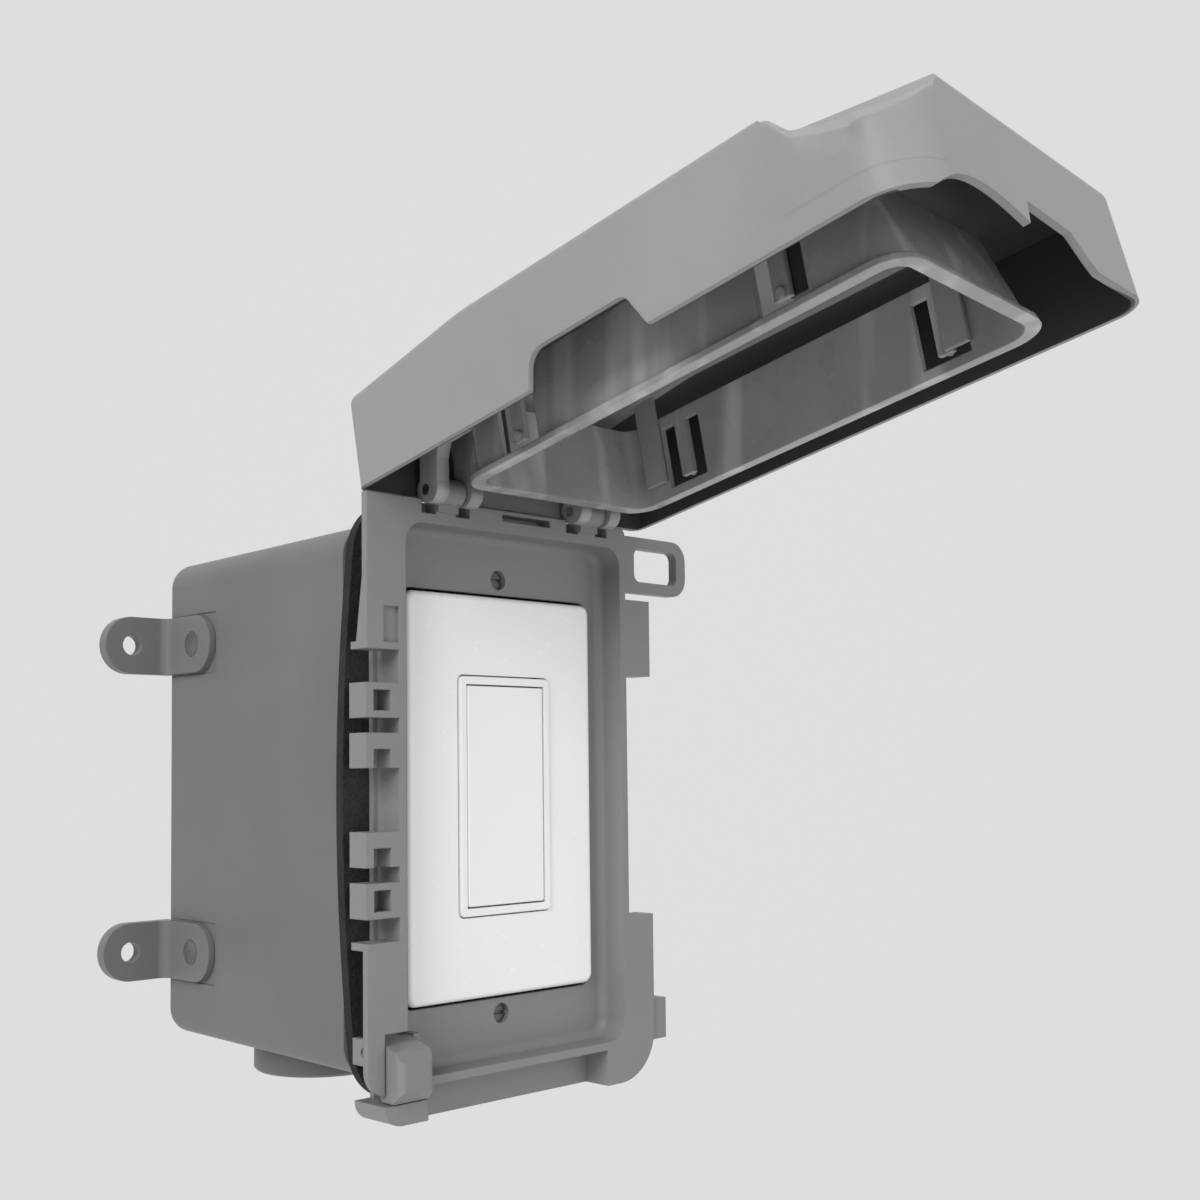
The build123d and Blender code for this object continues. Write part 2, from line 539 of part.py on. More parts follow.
    # Cups through the gasket in which the cover screws sit
    with BuildSketch(facing(BOX_DEPTH)):
        with Locations((0, -COVER_SCREW_SPACING / 2), (0, COVER_SCREW_SPACING / 2)):
            Circle(CUP_OUTER / 2)
    extrude(amount=FLOOR_FRONT - BOX_DEPTH)
    with Locations(facing(FLOOR_FRONT)):
        with Locations((0, -COVER_SCREW_SPACING / 2), (0, COVER_SCREW_SPACING / 2)):
            CounterBoreHole(
                COVER_SCREW / 2 + SEAT_GAP, COVER_SCREW_HEAD / 2 + SEAT_GAP, FLOOR_FRONT - BOX_DEPTH - CUP_FLOOR,
                depth=FLOOR_FRONT - BOX_DEPTH,
            )
    # The corner latch's pocket and its pin bore
    bar(LATCH_X[0] - RUN_GAP, LATCH_X[1] + RUN_GAP, LATCH_BOTTOM - RUN_GAP, LATCH_PIN_Z + LATCH_SWEEP,
        FLOOR_FRONT, RIM_FRONT, Mode.SUBTRACT)
    inner_ear_front = RIM_FRONT - LATCH_PIN_BACK + LATCH_HUB
    for ear_x, ear_front in ((LATCH_X[0] - RUN_GAP - LATCH_EAR, wing_back + 1), (LATCH_X[1] + RUN_GAP, inner_ear_front)):
        bar(ear_x, ear_x + LATCH_EAR, LATCH_PIN_Z - 3.5, LATCH_PIN_Z + 3.5, GASKET_FRONT, ear_front)
    with BuildSketch(Plane.YZ.offset(LATCH_X[0] - RUN_GAP - LATCH_EAR - 1)):
        with Locations((-RIM_FRONT + LATCH_PIN_BACK, LATCH_PIN_Z)):
            Circle(LATCH_PIN / 2 + PIN_GAP)
    extrude(amount=LATCH_X[1] - LATCH_X[0] + 2 * (RUN_GAP + LATCH_EAR) + 2, mode=Mode.SUBTRACT)
save(cover_base, "cover_base")

with BuildPart() as cover_screws:
    for end in (-1, 1):
        with BuildSketch(facing(BOX_DEPTH + CUP_FLOOR)):
            with Locations((0, end * COVER_SCREW_SPACING / 2)):
                Circle(COVER_SCREW_HEAD / 2)
        extrude(amount=HEAD_THICK)
        with BuildSketch(facing(BOX_DEPTH + CUP_FLOOR)):
            with Locations((0, end * COVER_SCREW_SPACING / 2)):
                Circle(COVER_SCREW / 2 - SEAT_GAP)
        extrude(amount=-COVER_SCREW_LENGTH)
        # A straight driver slot
        bar(-COVER_SCREW_HEAD, COVER_SCREW_HEAD, end * COVER_SCREW_SPACING / 2 - 0.5, end * COVER_SCREW_SPACING / 2 + 0.5,
            BOX_DEPTH + CUP_FLOOR + HEAD_THICK / 2, FLOOR_FRONT, Mode.SUBTRACT)
save(cover_screws, "cover_screws")

# Inner lid frame
def lid_shell(heel, tip, lean, half, corners, low, high):
    """A prism on the lid's mouth: square heel, slanted and leaning tip, rounded upright corners."""
    with BuildPart() as block:
        for level in (low, high):
            with BuildSketch(lid_plan(level)) as outline:
                reach = tip - lean * level
                with BuildLine():
                    Polyline(
                        (heel, -half), (reach + TIP_SLANT * half, -half), (reach - TIP_SLANT * half, half),
                        (heel, half), close=True,
                    )
                make_face()
                fillet(outline.vertices().sort_by(Axis.X)[:2], corners[0])
                fillet(outline.vertices().sort_by(Axis.X)[-1], corners[1])
                right_side = outline.vertices().filter_by(lambda point: point.Y > half - 0.01)
                fillet(right_side.sort_by(Axis.X)[-1], corners[2])
        loft(ruled=True)
    return block.part


def sleeve_block(inset, low, high):
    """The sleeve's outer form, or with an inset the open space inside it."""
    lean = (SLEEVE_END - SLEEVE_END_TOP) / (SLEEVE_TOP - SLEEVE_MOUTH)
    corners = (SLEEVE_CORNER - inset, SLEEVE_CORNER - inset, SLEEVE_FAR_CORNER - inset)
    tip = SLEEVE_END - inset + lean * SLEEVE_MOUTH
    return lid_shell(SLEEVE_START + inset, tip, lean, SLEEVE_HALF_WIDTH - inset, corners, low, high)


sleeve_outside = sleeve_block(0, SLEEVE_MOUTH, SLEEVE_TOP)
sleeve_inside = sleeve_block(SLEEVE_WALL, SLEEVE_MOUTH - 1, SLEEVE_TOP + 1)
with BuildPart() as lid_frame:
    add(sleeve_outside)
    add(sleeve_block(-MOUTH_FLANGE, SLEEVE_MOUTH, SLEEVE_MOUTH + SLEEVE_WALL))
    # Windows with a snap finger in the middle of each
    window_middle = (WINDOW_BOTTOM + WINDOW_TOP) / 2
    for side in (-1, 1):
        wall_outer = lid_side(side * (SLEEVE_HALF_WIDTH + (0.5 if side > 0 else -SLEEVE_WALL - 0.5)))
        with BuildSketch(wall_outer):
            for centre in WINDOW_CENTRES:
                with Locations((centre, window_middle)):
                    Rectangle(WINDOW_WIDTH, WINDOW_TOP - WINDOW_BOTTOM)
                with Locations((centre, window_middle + 1)):
                    Rectangle(FINGER_WIDTH, WINDOW_TOP - WINDOW_BOTTOM - 2, mode=Mode.SUBTRACT)
        extrude(amount=SLEEVE_WALL + 1, mode=Mode.SUBTRACT)
        with BuildSketch(lid_side(side * (SLEEVE_HALF_WIDTH - 0.2))):
            for centre in WINDOW_CENTRES:
                with Locations((centre, NUB_LEVEL)):
                    Circle(NUB_RADIUS)
        extrude(amount=-side * 1.2)
    # Four hooked arms that carry the pins
    for arm_x in (-ARM_OUTER_X, -ARM_INNER_X, ARM_INNER_X, ARM_OUTER_X):
        with BuildSketch(lid_side(arm_x + ARM_WIDTH / 2)):
            Circle(KNUCKLE_RADIUS)
            with Locations((1.2, 0)):
                Circle(ARM_HOOK_RADIUS - 1.2)
            with BuildLine():
                Polyline(
                    (-2.5, 0), (0, ARM_PLATE_TOP - 5), (3, ARM_PLATE_TOP), (SLEEVE_START + 5, ARM_PLATE_TOP),
                    (SLEEVE_START + 5, ARM_PLATE_TOP - 6), (8.5, ARM_PLATE_TOP - 6), (6.5, ARM_PLATE_TOP - 10),
                    (ARM_HOOK_RADIUS - 0.2, 0), close=True,
                )
            make_face()
            Circle(PIN_DIAMETER / 2, mode=Mode.SUBTRACT)
        extrude(amount=ARM_WIDTH)
    add(sleeve_inside, mode=Mode.SUBTRACT)
save(lid_frame, "lid_frame")

with BuildPart() as hinge_pins:
    for side in (-1, 1):
        with BuildSketch(Plane.YZ.offset(side * KNUCKLE_X - KNUCKLE_WIDTH / 2 - RUN_GAP - ARM_WIDTH)):
            with Locations((-HINGE_DEPTH, HINGE_Z)):
                Circle(PIN_DIAMETER / 2)
        extrude(amount=KNUCKLE_WIDTH + 2 * RUN_GAP + 2 * ARM_WIDTH)
save(hinge_pins, "hinge_pins")


# Hood
def hood_block(inset):
    """The hood's outer form, or with an inset the hollow inside it."""
    corners = (HOOD_HEEL_CORNER - inset, HOOD_LEFT_CORNER - inset, HOOD_RIGHT_CORNER - inset)
    rim = HOOD_RIM - (1.0 if inset else 0.0)
    top = HOOD_KNEE_HEIGHT + HOOD_WALL
    far_tip = HOOD_TIP + TIP_SLANT * HOOD_HALF_WIDTH + HOOD_WALL
    with BuildPart() as block:
        add(lid_shell(HOOD_HEEL + inset, HOOD_TIP - inset, HOOD_LEAN, HOOD_HALF_WIDTH - inset, corners, rim, top))
        # The crown rises from the heel to a soft knee, then falls gently to the tip
        with BuildSketch(lid_side()) as profile:
            with BuildLine():
                Polyline(
                    (HOOD_HEEL, rim), (far_tip, rim), (far_tip, HOOD_TIP_HEIGHT - inset),
                    (HOOD_KNEE, HOOD_KNEE_HEIGHT - inset), (HOOD_HEEL, HOOD_HEEL_HEIGHT - inset), close=True,
                )
            make_face()
            fillet(profile.vertices().sort_by(Axis.Y)[-1], HOOD_KNEE_RADIUS)
        extrude(amount=HOOD_HALF_WIDTH + 1, both=True, mode=Mode.INTERSECT)
        # The finger grip: a leaning flat across the left corner of the tip
        for distance, low, slope in ((GRIP_START, 15.0, 1.1), (GRIP_START + GRIP_LENGTH, 2.0, 1.14)):
            with BuildSketch(lid_end(distance + inset * 0.5)):
                with BuildLine():
                    edge_x = -HOOD_HALF_WIDTH - 1 + inset * 1.4
                    reach_z = HOOD_KNEE_HEIGHT + 8
                    Polyline(
                        (edge_x - 6, low), (edge_x, low), (edge_x + (reach_z - low) / slope, reach_z),
                        (edge_x - 6, reach_z), close=True,
                    )
                make_face()
        loft(mode=Mode.SUBTRACT)
        if inset == 0:
            crown = block.faces().filter_by(lambda face: face.normal_at(None).dot(OUTWARD) > 0.9)
            edges = ShapeList(edge for face in crown for edge in face.edges())
            border = edges.filter_by(lambda edge: sum(edge.is_same(other) for other in edges) == 1)
            fillet(border, HOOD_TOP_EDGE)
    return block.part


hood_outside = hood_block(0)
hood_inside = hood_block(HOOD_WALL)

# Corner guides that hang from the hood's roof and run inside the sleeve
with BuildPart() as hood_guides:
    for side in (-1, 1):
        near = SLEEVE_START + SLEEVE_CORNER + RUN_GAP + GUIDE_LEG / 2
        far = SLEEVE_END_TOP - TIP_SLANT * SLEEVE_HALF_WIDTH - SLEEVE_FAR_CORNER - RUN_GAP - GUIDE_LEG / 2
        side_x = side * (SLEEVE_HALF_WIDTH - SLEEVE_WALL - RUN_GAP)
        with BuildSketch(lid_plan(GUIDE_BOTTOM)):
            with Locations((near, side_x - side * GUIDE_THICK / 2), (far, side_x - side * GUIDE_THICK / 2)):
                Rectangle(GUIDE_LEG, GUIDE_THICK)
    extrude(amount=HOOD_KNEE_HEIGHT)
    add(hood_outside, mode=Mode.INTERSECT)

with BuildPart() as lid_hood:
    add(hood_outside)
    add(hood_inside, mode=Mode.SUBTRACT)
    # Cord notch in the left rim
    with BuildSketch(lid_side(-HOOD_HALF_WIDTH + HOOD_WALL + 1)) as notch:
        with BuildLine():
            Polyline(
                (CORD_NOTCH[0], HOOD_RIM - 1), (CORD_NOTCH[0] + CORD_NOTCH_SLOPES[0], CORD_NOTCH[2]),
                (CORD_NOTCH[1] - CORD_NOTCH_SLOPES[1], CORD_NOTCH[2]), (CORD_NOTCH[1], HOOD_RIM - 1), close=True,
            )
        make_face()
        notch_top = notch.vertices().group_by(Axis.Y)[-1].sort_by(Axis.X)
        fillet(notch_top[0], CORD_NOTCH_RADII[0])
        fillet(notch.vertices().group_by(Axis.Y)[-1].sort_by(Axis.X)[-1], CORD_NOTCH_RADII[1])
    extrude(amount=HOOD_WALL + 3, mode=Mode.SUBTRACT)
    # Low arch in the tip wall, with a deeper tooth right of the middle where a cord leaves
    with BuildSketch(lid_end(HOOD_TIP - 12)):
        with BuildLine():
            arch_step = (ARCH_TOOTH[0] - ARCH[0]) / 4
            rise = Spline(
                (ARCH[0], HOOD_RIM - 1), (ARCH[0] + arch_step, ARCH_HEIGHTS[0]), (ARCH[0] + 2 * arch_step, ARCH_HEIGHTS[1]),
                (ARCH[0] + 3 * arch_step, ARCH_HEIGHTS[2]), (ARCH_TOOTH[0] - 2, 1.6),
            )
            Polyline(
                rise @ 1, (ARCH_TOOTH[0], ARCH_TOOTH[2]), (ARCH_TOOTH[1], ARCH_TOOTH[2] - 1),
                (ARCH[1] - 5, 1.2), (ARCH[1], HOOD_RIM - 1), rise @ 0,
            )
        make_face()
    extrude(amount=24, mode=Mode.SUBTRACT)
    add(hood_guides.part)
save(lid_hood, "lid_hood")

# Corner latch
with BuildPart() as corner_latch:
    latch_back = RIM_FRONT - LATCH_PIN_BACK
    latch_front = RIM_FRONT + LATCH_PROUD
    with BuildSketch(Plane.YZ.offset(LATCH_X[0])) as latch_side:
        with BuildLine():
            Polyline(
                (-latch_back, LATCH_TOP), (-latch_back - 2.2, LATCH_TOP), (-latch_front + 2.5, LATCH_TOP - 2.2),
                (-latch_front, LATCH_TOP - 5), (-latch_front, LATCH_BOTTOM + 3), (-latch_front + 3, LATCH_BOTTOM),
                (-RIM_FRONT + 2, LATCH_BOTTOM), (-latch_back + LATCH_HUB - 0.4, LATCH_PIN_Z - 2), close=True,
            )
        make_face()
        with Locations((-latch_back, LATCH_PIN_Z)):
            Circle(LATCH_HUB)
            Circle(LATCH_PIN / 2 + PIN_GAP, mode=Mode.SUBTRACT)
    extrude(amount=LATCH_X[1] - LATCH_X[0])
    front_corners = corner_latch.faces().sort_by(Axis.Y)[0].edges().filter_by(Axis.Z)
    fillet(front_corners, 2.0)
save(corner_latch, "corner_latch")

with BuildPart() as latch_pin:
    with BuildSketch(Plane.YZ.offset(LATCH_X[0] - LATCH_EAR)):
        with Locations((-RIM_FRONT + LATCH_PIN_BACK, LATCH_PIN_Z)):
            Circle(LATCH_PIN / 2)
    extrude(amount=LATCH_X[1] - LATCH_X[0] + 2 * LATCH_EAR)
save(latch_pin, "latch_pin")

# Switch strap
with BuildPart() as switch_strap:
    with BuildSketch(facing(BOX_DEPTH)):
        RectangleRounded(STRAP_EAR_WIDTH, 2 * STRAP_HALF_HEIGHT, 2.0)
        Rectangle(STRAP_WIDTH, BODY_HEIGHT + 4)
        Rectangle(*STRAP_WINDOW, mode=Mode.SUBTRACT)
        with Locations((0, -DEVICE_SCREW_SPACING / 2), (0, DEVICE_SCREW_SPACING / 2)):
            SlotOverall(7.0, DEVICE_SCREW + 2 * SEAT_GAP, mode=Mode.SUBTRACT)
        with Locations((0, -PLATE_SCREW_SPACING / 2), (0, PLATE_SCREW_SPACING / 2)):
            Circle(DEVICE_SCREW / 2, mode=Mode.SUBTRACT)
    extrude(amount=STRAP_THICK)
save(switch_strap, "switch_strap")

# Switch body, a moulded cup behind the strap
with BuildPart() as switch_body:
    with BuildSketch(facing(BOX_DEPTH - BODY_DEPTH)):
        RectangleRounded(BODY_WIDTH, BODY_HEIGHT, 2.5)
    extrude(amount=BODY_DEPTH)
    with BuildSketch(facing(BOX_DEPTH - BODY_DEPTH + BODY_WALL)):
        Rectangle(BODY_WIDTH - 2 * BODY_WALL, BODY_HEIGHT - 2 * BODY_WALL)
    extrude(amount=BODY_DEPTH, mode=Mode.SUBTRACT)
    # Bearing blocks for the contact lever
    for side in (-1, 1):
        inner = BODY_WIDTH / 2 - BODY_WALL
        low_x = min(side * 6.0, side * inner)
        bar(low_x, low_x + inner - 6.0, -4, 4, BOX_DEPTH - BODY_DEPTH + BODY_WALL, LEVER_AXIS + 3)
    with BuildSketch(Plane.YZ.offset(-9.5)):
        with Locations((-LEVER_AXIS, 0)):
            Circle(LEVER_PIN / 2 + PIN_GAP)
    extrude(amount=19.0, mode=Mode.SUBTRACT)
    # Side recesses where the terminals sit
    for side in (-1, 1):
        for end in (-1, 1):
            low_x = min(side * (BODY_WIDTH / 2 - TERMINAL_THICK), side * (BODY_WIDTH / 2 + 1))
            low_z = end * TERMINAL_LEVEL - TERMINAL_LENGTH / 2
            bar(low_x, low_x + 2.2, low_z, low_z + TERMINAL_LENGTH,
                BOX_DEPTH - BODY_DEPTH + TERMINAL_BORDER, BOX_DEPTH - TERMINAL_BORDER, Mode.SUBTRACT)
save(switch_body, "switch_body")

# Terminals: a brass plate in a side recess, with its contact inside
for terminal_name, end in (("line_terminal", 1), ("load_terminal", -1)):
    with BuildPart() as terminal:
        low_z = end * TERMINAL_LEVEL - TERMINAL_LENGTH / 2 + 2 * SEAT_GAP
        plate_x = BODY_WIDTH / 2 - TERMINAL_THICK
        border = TERMINAL_BORDER + 2 * SEAT_GAP
        bar(plate_x, plate_x + TERMINAL_THICK, low_z, low_z + TERMINAL_LENGTH - 4 * SEAT_GAP,
            BOX_DEPTH - BODY_DEPTH + border, BOX_DEPTH - border)
    save(terminal, terminal_name)

with BuildPart() as terminal_screws:
    for end in (-1, 1):
        with BuildSketch(Plane.YZ.offset(BODY_WIDTH / 2)):
            with Locations((-BOX_DEPTH + BODY_DEPTH / 2, end * TERMINAL_LEVEL)):
                Circle(TERMINAL_HEAD / 2)
        extrude(amount=2.2)
save(terminal_screws, "terminal_screws")

# Fixed contacts on the body's floor, one under each end of the lever
with BuildPart() as fixed_contacts:
    for end in (-1, 1):
        with BuildSketch(facing(BOX_DEPTH - BODY_DEPTH + BODY_WALL)):
            with Locations((0, end * (LEVER_LENGTH / 2 - 2.5))):
                Circle(2.2)
        tip_drop = (LEVER_LENGTH / 2) * sin(radians(PADDLE_TRAVEL * LEVER_RATIO))
        extrude(amount=LEVER_AXIS - 1.0 - tip_drop - CONTACT_GAP - (BOX_DEPTH - BODY_DEPTH + BODY_WALL))
save(fixed_contacts, "fixed_contacts")

# Contact lever on its cross pin
with BuildPart() as contact_lever:
    with BuildSketch(facing(LEVER_AXIS - LEVER_THICK / 2)):
        Rectangle(LEVER_WIDTH, LEVER_LENGTH)
    extrude(amount=LEVER_THICK)
    with BuildSketch(Plane.YZ.offset(-LEVER_PIN_LENGTH / 2)):
        with Locations((-LEVER_AXIS, 0)):
            Circle(LEVER_PIN / 2)
    extrude(amount=LEVER_PIN_LENGTH)
    # A fork that holds the nose of the paddle's leg
    for side in (-1, 1):
        prong_inner = side * (CAM_NOSE + CAM_GAP)
        prong_outer = prong_inner + side * PRONG_THICK
        prong_front = MESH_DEPTH + CAM_NOSE
        bar(-PRONG_WIDTH / 2, PRONG_WIDTH / 2, min(prong_inner, prong_outer), max(prong_inner, prong_outer),
            LEVER_AXIS, prong_front)
save(contact_lever, "contact_lever")

# Face frame round the paddle
with BuildPart() as switch_frame:
    with BuildSketch(facing(STRAP_FRONT)):
        RectangleRounded(FRAME_WIDTH, FRAME_HEIGHT, 1.6)
        Rectangle(PADDLE_WIDTH + 2 * PADDLE_GAP, PADDLE_HEIGHT + 2 * PADDLE_GAP, mode=Mode.SUBTRACT)
    extrude(amount=FACE_FRONT - STRAP_FRONT)
    front_edges = switch_frame.faces().sort_by(Axis.Y)[0].outer_wire().edges()
    fillet(front_edges, 0.5)
    with BuildSketch(Plane.YZ.offset(-FRAME_WIDTH / 2 + 0.6)):
        with Locations((-PADDLE_AXIS, 0)):
            Circle(TRUNNION / 2 + PIN_GAP)
    extrude(amount=FRAME_WIDTH - 1.2, mode=Mode.SUBTRACT)
save(switch_frame, "switch_frame")

# Paddle with its trunnions and the cam that works the lever
with BuildPart() as rocker_paddle:
    with BuildSketch(facing(FACE_FRONT - PADDLE_SLAB)):
        RectangleRounded(PADDLE_WIDTH, PADDLE_HEIGHT, 0.8)
    extrude(amount=PADDLE_SLAB)
    paddle_front = rocker_paddle.faces().sort_by(Axis.Y)[0].edges()
    fillet(paddle_front, 0.5)
    bar(-PADDLE_WIDTH / 2 + 0.6, PADDLE_WIDTH / 2 - 0.6, -3.0, 3.0, PADDLE_AXIS - 1.2, FACE_FRONT - PADDLE_SLAB + 0.2)
    with BuildSketch(Plane.YZ.offset(-PADDLE_WIDTH / 2 - PADDLE_GAP - 1.0)):
        with Locations((-PADDLE_AXIS, 0)):
            Circle(TRUNNION / 2)
    extrude(amount=PADDLE_WIDTH + 2 * PADDLE_GAP + 2.0)
    bar(-2.5, 2.5, -0.9, 0.9, MESH_DEPTH, PADDLE_AXIS)
    with BuildSketch(Plane.YZ.offset(-2.5)):
        with Locations((-MESH_DEPTH, 0)):
            Circle(CAM_NOSE)
    extrude(amount=5.0)
save(rocker_paddle, "rocker_paddle")

# Screws that hold the switch to the box, and its ground screw
with BuildPart() as device_screws:
    for end in (-1, 1):
        with BuildSketch(facing(STRAP_FRONT)):
            with Locations((0, end * DEVICE_SCREW_SPACING / 2)):
                Circle(SMALL_HEAD / 2)
        extrude(amount=SMALL_HEAD_THICK)
        with BuildSketch(facing(STRAP_FRONT)):
            with Locations((0, end * DEVICE_SCREW_SPACING / 2)):
                Circle(DEVICE_SCREW / 2 - SEAT_GAP)
        extrude(amount=-DEVICE_SCREW_LENGTH)
save(device_screws, "device_screws")

with BuildPart() as ground_screw:
    with BuildSketch(facing(BOX_DEPTH)):
        with Locations((-7.0, STRAP_HALF_HEIGHT - 4.5)):
            Circle(3.0)
    extrude(amount=-2.2)
save(ground_screw, "ground_screw")

# Mounting plate, its screws and the snap-on wall plate
with BuildPart() as plate_frame:
    with BuildSketch(facing(STRAP_FRONT)):
        RectangleRounded(SUBPLATE_WIDTH, SUBPLATE_HEIGHT, PLATE_CORNER)
        Rectangle(OPENING_WIDTH + 1.0, OPENING_HEIGHT + 1.0, mode=Mode.SUBTRACT)
        with Locations((0, -PLATE_SCREW_SPACING / 2), (0, PLATE_SCREW_SPACING / 2)):
            Circle(DEVICE_SCREW / 2 + SEAT_GAP, mode=Mode.SUBTRACT)
        with Locations((0, -DEVICE_SCREW_SPACING / 2), (0, DEVICE_SCREW_SPACING / 2)):
            Circle(SMALL_HEAD / 2 + RUN_GAP, mode=Mode.SUBTRACT)
    extrude(amount=SUBPLATE_THICK)
save(plate_frame, "plate_frame")

with BuildPart() as plate_screws:
    for end in (-1, 1):
        with BuildSketch(facing(SUBPLATE_FRONT)):
            with Locations((0, end * PLATE_SCREW_SPACING / 2)):
                Circle(SMALL_HEAD / 2 - 0.3)
        extrude(amount=SMALL_HEAD_THICK)
        with BuildSketch(facing(SUBPLATE_FRONT)):
            with Locations((0, end * PLATE_SCREW_SPACING / 2)):
                Circle(DEVICE_SCREW / 2 - SEAT_GAP)
        extrude(amount=-PLATE_SCREW_LENGTH)
save(plate_screws, "plate_screws")

with BuildPart() as wall_plate:
    with BuildSketch(facing(STRAP_FRONT)):
        RectangleRounded(PLATE_WIDTH, PLATE_HEIGHT, PLATE_CORNER)
    extrude(amount=PLATE_FRONT - STRAP_FRONT)
    plate_edges = wall_plate.faces().sort_by(Axis.Y)[0].edges()
    fillet(plate_edges, 1.6)
    with BuildSketch(facing(STRAP_FRONT)):
        RectangleRounded(PLATE_WIDTH - 2 * PLATE_WALL, PLATE_HEIGHT - 2 * PLATE_WALL, PLATE_CORNER - 1)
    extrude(amount=PLATE_FRONT - STRAP_FRONT - PLATE_WALL, mode=Mode.SUBTRACT)
    # Snap posts that stand on the mounting plate
    with BuildSketch(facing(SUBPLATE_FRONT)):
        with GridLocations(SUBPLATE_WIDTH - 2 * POST_MARGIN, SUBPLATE_HEIGHT - 2 * POST_MARGIN, 2, 2):
            Rectangle(*POST_SIZE)
    extrude(amount=PLATE_FRONT - SUBPLATE_FRONT - PLATE_WALL + 0.2)
    with BuildSketch(facing(STRAP_FRONT)):
        RectangleRounded(OPENING_WIDTH, OPENING_HEIGHT, 2.0)
    extrude(amount=PLATE_FRONT - STRAP_FRONT, mode=Mode.SUBTRACT)
save(wall_plate, "wall_plate")
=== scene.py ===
import math

import bpy
import numpy as np
from mathutils import Matrix, Vector


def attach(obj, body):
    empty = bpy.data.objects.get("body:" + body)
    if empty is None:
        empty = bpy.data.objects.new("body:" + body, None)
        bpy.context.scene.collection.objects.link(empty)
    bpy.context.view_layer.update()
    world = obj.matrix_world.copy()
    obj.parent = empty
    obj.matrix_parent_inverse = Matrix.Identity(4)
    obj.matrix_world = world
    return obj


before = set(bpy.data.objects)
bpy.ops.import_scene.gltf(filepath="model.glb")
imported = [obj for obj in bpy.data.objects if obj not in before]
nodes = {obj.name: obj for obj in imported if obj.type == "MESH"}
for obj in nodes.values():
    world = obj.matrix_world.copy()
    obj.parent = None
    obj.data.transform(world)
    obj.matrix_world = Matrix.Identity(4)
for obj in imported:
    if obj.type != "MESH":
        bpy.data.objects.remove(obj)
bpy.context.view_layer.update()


# Back box. The deep surface box is one moulding in grey plastic with a fine spark-eroded
# texture. It widens a little towards the front, and a round conduit hub is moulded on below.
class Wire:
    """A shader socket that adds its own Math nodes when it meets an operator."""

    def __init__(self, tree, socket):
        self.tree = tree
        self.socket = socket

    def node(self, kind, settings=None, stops=None, out=0, **inputs):
        """Adds a node of a kind: its settings first, then its ramp stops, then its inputs."""
        made = self.tree.nodes.new("ShaderNode" + kind)
        for name, value in (settings or {}).items():
            setattr(made, name, value)
        if stops:
            ramp = made.color_ramp.elements
            while len(ramp) < len(stops):
                ramp.new(0.5)
            for element, (place, grey) in zip(ramp, stops):
                element.position = place
                element.color = (grey, grey, grey, 1.0)
        for name, value in inputs.items():
            key = int(name[1:]) if name[0] == "i" and name[1:].isdigit() else name.replace("_", " ")
            target = made.inputs[key]
            if isinstance(value, Wire):
                self.tree.links.new(value.socket, target)
            else:
                target.default_value = value
        return Wire(self.tree, made.outputs[out])

    def maths(self, operation, other=0.0):
        return self.node("Math", {"operation": operation}, i0=self, i1=other)

    def __add__(self, other):
        return self.maths("ADD", other)

    __radd__ = __add__

    def __sub__(self, other):
        return self.maths("SUBTRACT", other)

    def __rsub__(self, other):
        return self.node("Math", {"operation": "SUBTRACT"}, i0=other, i1=self)

    def __mul__(self, other):
        return self.maths("MULTIPLY", other)

    __rmul__ = __mul__

    def between(self, low, high):
        """0 below low, 1 above high and a straight slope from one to the other."""
        return self.node("MapRange", {"clamp": True}, Value=self, From_Min=low, From_Max=high)


def finish(name, **fixed):
    """A material on a Principled shader: its own constant sockets, and the place to build on."""
    material = bpy.data.materials.new(name)
    material.use_nodes = True
    tree = material.node_tree
    shader = tree.nodes["Principled BSDF"]
    for key, value in fixed.items():
        shader.inputs[key.replace("_", " ")].default_value = value
    place = tree.nodes.new("ShaderNodeTexCoord")
    return material, shader, Wire(tree, place.outputs["Object"])


def feed(shader, name, wire):
    """Links a finished expression to one of the shader's sockets."""
    wire.tree.links.new(wire.socket, shader.inputs[name])


def feed_colour(shader, red, green, blue):
    """Joins three levels into the shader's base colour."""
    feed(shader, "Base Color", red.node("CombineColor", Red=red, Green=green, Blue=blue))


def coat_nodes(material, *names):
    """Gives every slot of these CAD nodes one material."""
    for name in names:
        mesh = nodes[name].data
        mesh.materials.clear()
        mesh.materials.append(material)


def moulded_plastic(name, grey, rough, grain=0.00006, grain_scale=1500.0, cloud=0.06, shine=0.3):
    """Grey moulded plastic: colour drifts in soft clouds, pale scuffs catch on the
    surface, a fine grain is raised by a bump on noise, and edges shade as if rounded."""
    material, shader, place = finish(name, IOR=1.46, Specular_IOR_Level=shine)
    clouds = place.node("TexNoise", Vector=place, Scale=22.0, Detail=4.0, Roughness=0.55)
    specks = place.node("TexNoise", Vector=place, Scale=grain_scale, Detail=2.0, Roughness=0.6)
    marks = {"Scale": 70.0, "Detail": 6.0, "Roughness": 0.7, "Distortion": 1.2}
    scuff = place.node("TexNoise", Vector=place, **marks).between(0.62, 0.8)
    drift = clouds.between(0.3, 0.7)
    tint = drift * cloud + scuff * 0.05 + (specks.between(0.2, 0.8) * 0.05 - 0.025)
    level = (tint + (1.0 - cloud / 2)) * grey
    feed_colour(shader, level, level, level)
    feed(shader, "Roughness", drift * 0.08 + scuff * 0.12 + (rough - 0.04))
    soft_edge = place.node("Bevel", {"samples": 6}, Radius=0.0005)
    bump = place.node("Bump", Strength=0.5, Distance=grain, Height=specks, Normal=soft_edge)
    feed(shader, "Normal", bump)
    return material


box_grey = moulded_plastic("box_plastic_grained", 0.16, 0.40, cloud=0.16)
coat_nodes(box_grey, "back_box")

